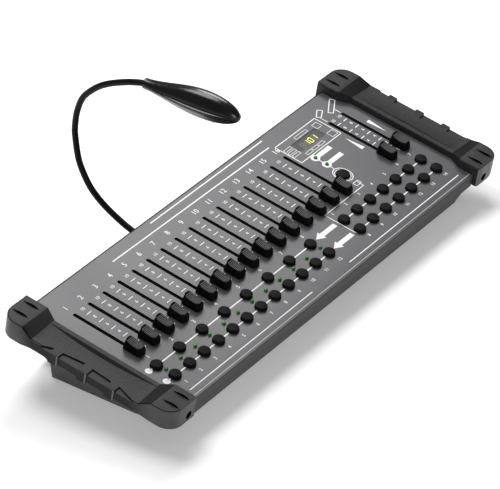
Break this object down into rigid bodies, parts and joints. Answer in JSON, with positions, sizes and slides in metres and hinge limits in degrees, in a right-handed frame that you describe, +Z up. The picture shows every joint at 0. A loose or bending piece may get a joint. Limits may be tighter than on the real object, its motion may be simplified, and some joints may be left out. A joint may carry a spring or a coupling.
{
  "type": "lighting control desk",
  "caption": "Table-top stage lighting controller: sloping metal panel with slide faders, push buttons and a display between plastic end cheeks, with a gooseneck lamp at the rear.",
  "frame": {"origin": "centre of the bounding box on the table top", "axes": "+X to the operator's right along the row of faders, +Y to the rear, +Z up"},
  "size_m": [0.52, 0.2652, 0.218],
  "materials": {
    "panel_paint": "fine satin grey paint with white print",
    "tray_paint": "dark grey powder coat",
    "cheek_plastic": "spark-textured dark grey moulding",
    "knob_plastic": "satin black, ribbed finger rest",
    "key_plastic": "satin black",
    "board_laminate": "green solder resist",
    "display_plastic": "black with lit segments",
    "window_smoke": "smoked, polished",
    "socket_plastic": "black moulding",
    "screw_steel": "zinc-plated",
    "neck_paint": "black flexible tube with fine rings",
    "lamp_plastic": "glossy black",
    "lens_clear": "clear, lightly frosted"
  },
  "bodies": {
    "desk": {"face_panel": "panel_paint", "base_tray": "tray_paint", "left_cheek": "cheek_plastic", "right_cheek": "cheek_plastic", "left_cheek_screw": "screw_steel", "right_cheek_screw": "screw_steel", "fader_board": "board_laminate", "key_board": "board_laminate", "display_module": "display_plastic", "display_window": "window_smoke", "dmx_socket": "socket_plastic", "midi_socket": "socket_plastic", "power_inlet": "socket_plastic", "lamp_socket": "screw_steel"},
    "channel_fader_01": {"channel_fader_01": "knob_plastic"},
    "channel_fader_02": {"channel_fader_02": "knob_plastic"},
    "channel_fader_03": {"channel_fader_03": "knob_plastic"},
    "channel_fader_04": {"channel_fader_04": "knob_plastic"},
    "channel_fader_05": {"channel_fader_05": "knob_plastic"},
    "channel_fader_06": {"channel_fader_06": "knob_plastic"},
    "channel_fader_07": {"channel_fader_07": "knob_plastic"},
    "channel_fader_08": {"channel_fader_08": "knob_plastic"},
    "channel_fader_09": {"channel_fader_09": "knob_plastic"},
    "channel_fader_10": {"channel_fader_10": "knob_plastic"},
    "channel_fader_11": {"channel_fader_11": "knob_plastic"},
    "channel_fader_12": {"channel_fader_12": "knob_plastic"},
    "channel_fader_13": {"channel_fader_13": "knob_plastic"},
    "channel_fader_14": {"channel_fader_14": "knob_plastic"},
    "channel_fader_15": {"channel_fader_15": "knob_plastic"},
    "channel_fader_16": {"channel_fader_16": "knob_plastic"},
    "speed_fader": {"speed_fader": "knob_plastic"},
    "fade_time_fader": {"fade_time_fader": "knob_plastic"},
    "scene_button_1": {"scene_button_1": "key_plastic"},
    "scene_button_2": {"scene_button_2": "key_plastic"},
    "scene_button_3": {"scene_button_3": "key_plastic"},
    "scene_button_4": {"scene_button_4": "key_plastic"},
    "scene_button_5": {"scene_button_5": "key_plastic"},
    "scene_button_6": {"scene_button_6": "key_plastic"},
    "scene_button_7": {"scene_button_7": "key_plastic"},
    "scene_button_8": {"scene_button_8": "key_plastic"},
    "scanner_button_01": {"scanner_button_01": "key_plastic"},
    "scanner_button_02": {"scanner_button_02": "key_plastic"},
    "scanner_button_03": {"scanner_button_03": "key_plastic"},
    "scanner_button_04": {"scanner_button_04": "key_plastic"},
    "scanner_button_05": {"scanner_button_05": "key_plastic"},
    "scanner_button_06": {"scanner_button_06": "key_plastic"},
    "scanner_button_07": {"scanner_button_07": "key_plastic"},
    "scanner_button_08": {"scanner_button_08": "key_plastic"},
    "scanner_button_09": {"scanner_button_09": "key_plastic"},
    "scanner_button_10": {"scanner_button_10": "key_plastic"},
    "scanner_button_11": {"scanner_button_11": "key_plastic"},
    "scanner_button_12": {"scanner_button_12": "key_plastic"},
    "page_button": {"page_button": "key_plastic"},
    "function_keys_upper": {"function_keys_upper": "key_plastic"},
    "function_keys_lower": {"function_keys_lower": "key_plastic"},
    "power_rocker": {"power_rocker": "key_plastic"},
    "lamp_lower": {"gooseneck_lower": "neck_paint"},
    "lamp_upper": {"gooseneck_upper": "neck_paint", "lamp_housing": "lamp_plastic", "lamp_lens": "lens_clear"}
  },
  "joints": [
    {"name": "lamp_swivel", "type": "hinge", "parent": "desk", "child": "lamp_lower", "pos_m": [-0.05, 0.04822, 0.04], "axis": [0, 1, 0], "range_deg": [-60, 60]},
    {"name": "lamp_bend", "type": "hinge", "parent": "lamp_lower", "child": "lamp_upper", "pos_m": [-0.05, 0.12916, 0.1216], "axis": [1, 0, 0], "range_deg": [-20, 30]},
    {"name": "power_rocker_tip", "type": "hinge", "parent": "desk", "child": "power_rocker", "pos_m": [0.1645, 0.04482, 0.032], "axis": [1, 0, 0], "range_deg": [-14, 0]},
    {"name": "function_keys_upper_press", "type": "slide", "parent": "desk", "child": "function_keys_upper", "axis": [0, -0.165, 0.9863], "range_m": [-0.0012, 0], "stiffness_N_per_m": 2000},
    {"name": "function_keys_lower_press", "type": "slide", "parent": "desk", "child": "function_keys_lower", "axis": [0, -0.165, 0.9863], "range_m": [-0.0012, 0], "stiffness_N_per_m": 2000},
    {"name": "page_button_press", "type": "slide", "parent": "desk", "child": "page_button", "axis": [0, -0.165, 0.9863], "range_m": [-0.0012, 0], "stiffness_N_per_m": 800},
    {"name": "channel_fader_01_slide", "type": "slide", "parent": "desk", "child": "channel_fader_01", "axis": [0, 0.9863, 0.165], "range_m": [0, 0.06]},
    {"name": "channel_fader_02_slide", "type": "slide", "parent": "desk", "child": "channel_fader_02", "axis": [0, 0.9863, 0.165], "range_m": [0, 0.06]},
    {"name": "channel_fader_03_slide", "type": "slide", "parent": "desk", "child": "channel_fader_03", "axis": [0, 0.9863, 0.165], "range_m": [0, 0.06]},
    {"name": "channel_fader_04_slide", "type": "slide", "parent": "desk", "child": "channel_fader_04", "axis": [0, 0.9863, 0.165], "range_m": [0, 0.06]},
    {"name": "channel_fader_05_slide", "type": "slide", "parent": "desk", "child": "channel_fader_05", "axis": [0, 0.9863, 0.165], "range_m": [0, 0.06]},
    {"name": "channel_fader_06_slide", "type": "slide", "parent": "desk", "child": "channel_fader_06", "axis": [0, 0.9863, 0.165], "range_m": [0, 0.06]},
    {"name": "channel_fader_07_slide", "type": "slide", "parent": "desk", "child": "channel_fader_07", "axis": [0, 0.9863, 0.165], "range_m": [0, 0.06]},
    {"name": "channel_fader_08_slide", "type": "slide", "parent": "desk", "child": "channel_fader_08", "axis": [0, 0.9863, 0.165], "range_m": [0, 0.06]},
    {"name": "channel_fader_09_slide", "type": "slide", "parent": "desk", "child": "channel_fader_09", "axis": [0, 0.9863, 0.165], "range_m": [0, 0.06]},
    {"name": "channel_fader_10_slide", "type": "slide", "parent": "desk", "child": "channel_fader_10", "axis": [0, 0.9863, 0.165], "range_m": [0, 0.06]},
    {"name": "channel_fader_11_slide", "type": "slide", "parent": "desk", "child": "channel_fader_11", "axis": [0, 0.9863, 0.165], "range_m": [0, 0.06]},
    {"name": "channel_fader_12_slide", "type": "slide", "parent": "desk", "child": "channel_fader_12", "axis": [0, 0.9863, 0.165], "range_m": [0, 0.06]},
    {"name": "channel_fader_13_slide", "type": "slide", "parent": "desk", "child": "channel_fader_13", "axis": [0, 0.9863, 0.165], "range_m": [0, 0.06]},
    {"name": "channel_fader_14_slide", "type": "slide", "parent": "desk", "child": "channel_fader_14", "axis": [0, 0.9863, 0.165], "range_m": [0, 0.06]},
    {"name": "channel_fader_15_slide", "type": "slide", "parent": "desk", "child": "channel_fader_15", "axis": [0, 0.9863, 0.165], "range_m": [0, 0.06]},
    {"name": "channel_fader_16_slide", "type": "slide", "parent": "desk", "child": "channel_fader_16", "axis": [0, 0.9863, 0.165], "range_m": [0, 0.06]},
    {"name": "speed_fader_slide", "type": "slide", "parent": "desk", "child": "speed_fader", "axis": [0, 0.9863, 0.165], "range_m": [0, 0.06]},
    {"name": "fade_time_fader_slide", "type": "slide", "parent": "desk", "child": "fade_time_fader", "axis": [0, 0.9863, 0.165], "range_m": [0, 0.06]},
    {"name": "scene_button_1_press", "type": "slide", "parent": "desk", "child": "scene_button_1", "axis": [0, -0.165, 0.9863], "range_m": [-0.0012, 0], "stiffness_N_per_m": 800},
    {"name": "scene_button_2_press", "type": "slide", "parent": "desk", "child": "scene_button_2", "axis": [0, -0.165, 0.9863], "range_m": [-0.0012, 0], "stiffness_N_per_m": 800},
    {"name": "scene_button_3_press", "type": "slide", "parent": "desk", "child": "scene_button_3", "axis": [0, -0.165, 0.9863], "range_m": [-0.0012, 0], "stiffness_N_per_m": 800},
    {"name": "scene_button_4_press", "type": "slide", "parent": "desk", "child": "scene_button_4", "axis": [0, -0.165, 0.9863], "range_m": [-0.0012, 0], "stiffness_N_per_m": 800},
    {"name": "scene_button_5_press", "type": "slide", "parent": "desk", "child": "scene_button_5", "axis": [0, -0.165, 0.9863], "range_m": [-0.0012, 0], "stiffness_N_per_m": 800},
    {"name": "scene_button_6_press", "type": "slide", "parent": "desk", "child": "scene_button_6", "axis": [0, -0.165, 0.9863], "range_m": [-0.0012, 0], "stiffness_N_per_m": 800},
    {"name": "scene_button_7_press", "type": "slide", "parent": "desk", "child": "scene_button_7", "axis": [0, -0.165, 0.9863], "range_m": [-0.0012, 0], "stiffness_N_per_m": 800},
    {"name": "scene_button_8_press", "type": "slide", "parent": "desk", "child": "scene_button_8", "axis": [0, -0.165, 0.9863], "range_m": [-0.0012, 0], "stiffness_N_per_m": 800},
    {"name": "scanner_button_01_press", "type": "slide", "parent": "desk", "child": "scanner_button_01", "axis": [0, -0.165, 0.9863], "range_m": [-0.0012, 0], "stiffness_N_per_m": 800},
    {"name": "scanner_button_02_press", "type": "slide", "parent": "desk", "child": "scanner_button_02", "axis": [0, -0.165, 0.9863], "range_m": [-0.0012, 0], "stiffness_N_per_m": 800},
    {"name": "scanner_button_03_press", "type": "slide", "parent": "desk", "child": "scanner_button_03", "axis": [0, -0.165, 0.9863], "range_m": [-0.0012, 0], "stiffness_N_per_m": 800},
    {"name": "scanner_button_04_press", "type": "slide", "parent": "desk", "child": "scanner_button_04", "axis": [0, -0.165, 0.9863], "range_m": [-0.0012, 0], "stiffness_N_per_m": 800},
    {"name": "scanner_button_05_press", "type": "slide", "parent": "desk", "child": "scanner_button_05", "axis": [0, -0.165, 0.9863], "range_m": [-0.0012, 0], "stiffness_N_per_m": 800},
    {"name": "scanner_button_06_press", "type": "slide", "parent": "desk", "child": "scanner_button_06", "axis": [0, -0.165, 0.9863], "range_m": [-0.0012, 0], "stiffness_N_per_m": 800},
    {"name": "scanner_button_07_press", "type": "slide", "parent": "desk", "child": "scanner_button_07", "axis": [0, -0.165, 0.9863], "range_m": [-0.0012, 0], "stiffness_N_per_m": 800},
    {"name": "scanner_button_08_press", "type": "slide", "parent": "desk", "child": "scanner_button_08", "axis": [0, -0.165, 0.9863], "range_m": [-0.0012, 0], "stiffness_N_per_m": 800},
    {"name": "scanner_button_09_press", "type": "slide", "parent": "desk", "child": "scanner_button_09", "axis": [0, -0.165, 0.9863], "range_m": [-0.0012, 0], "stiffness_N_per_m": 800},
    {"name": "scanner_button_10_press", "type": "slide", "parent": "desk", "child": "scanner_button_10", "axis": [0, -0.165, 0.9863], "range_m": [-0.0012, 0], "stiffness_N_per_m": 800},
    {"name": "scanner_button_11_press", "type": "slide", "parent": "desk", "child": "scanner_button_11", "axis": [0, -0.165, 0.9863], "range_m": [-0.0012, 0], "stiffness_N_per_m": 800},
    {"name": "scanner_button_12_press", "type": "slide", "parent": "desk", "child": "scanner_button_12", "axis": [0, -0.165, 0.9863], "range_m": [-0.0012, 0], "stiffness_N_per_m": 800}
  ]
}
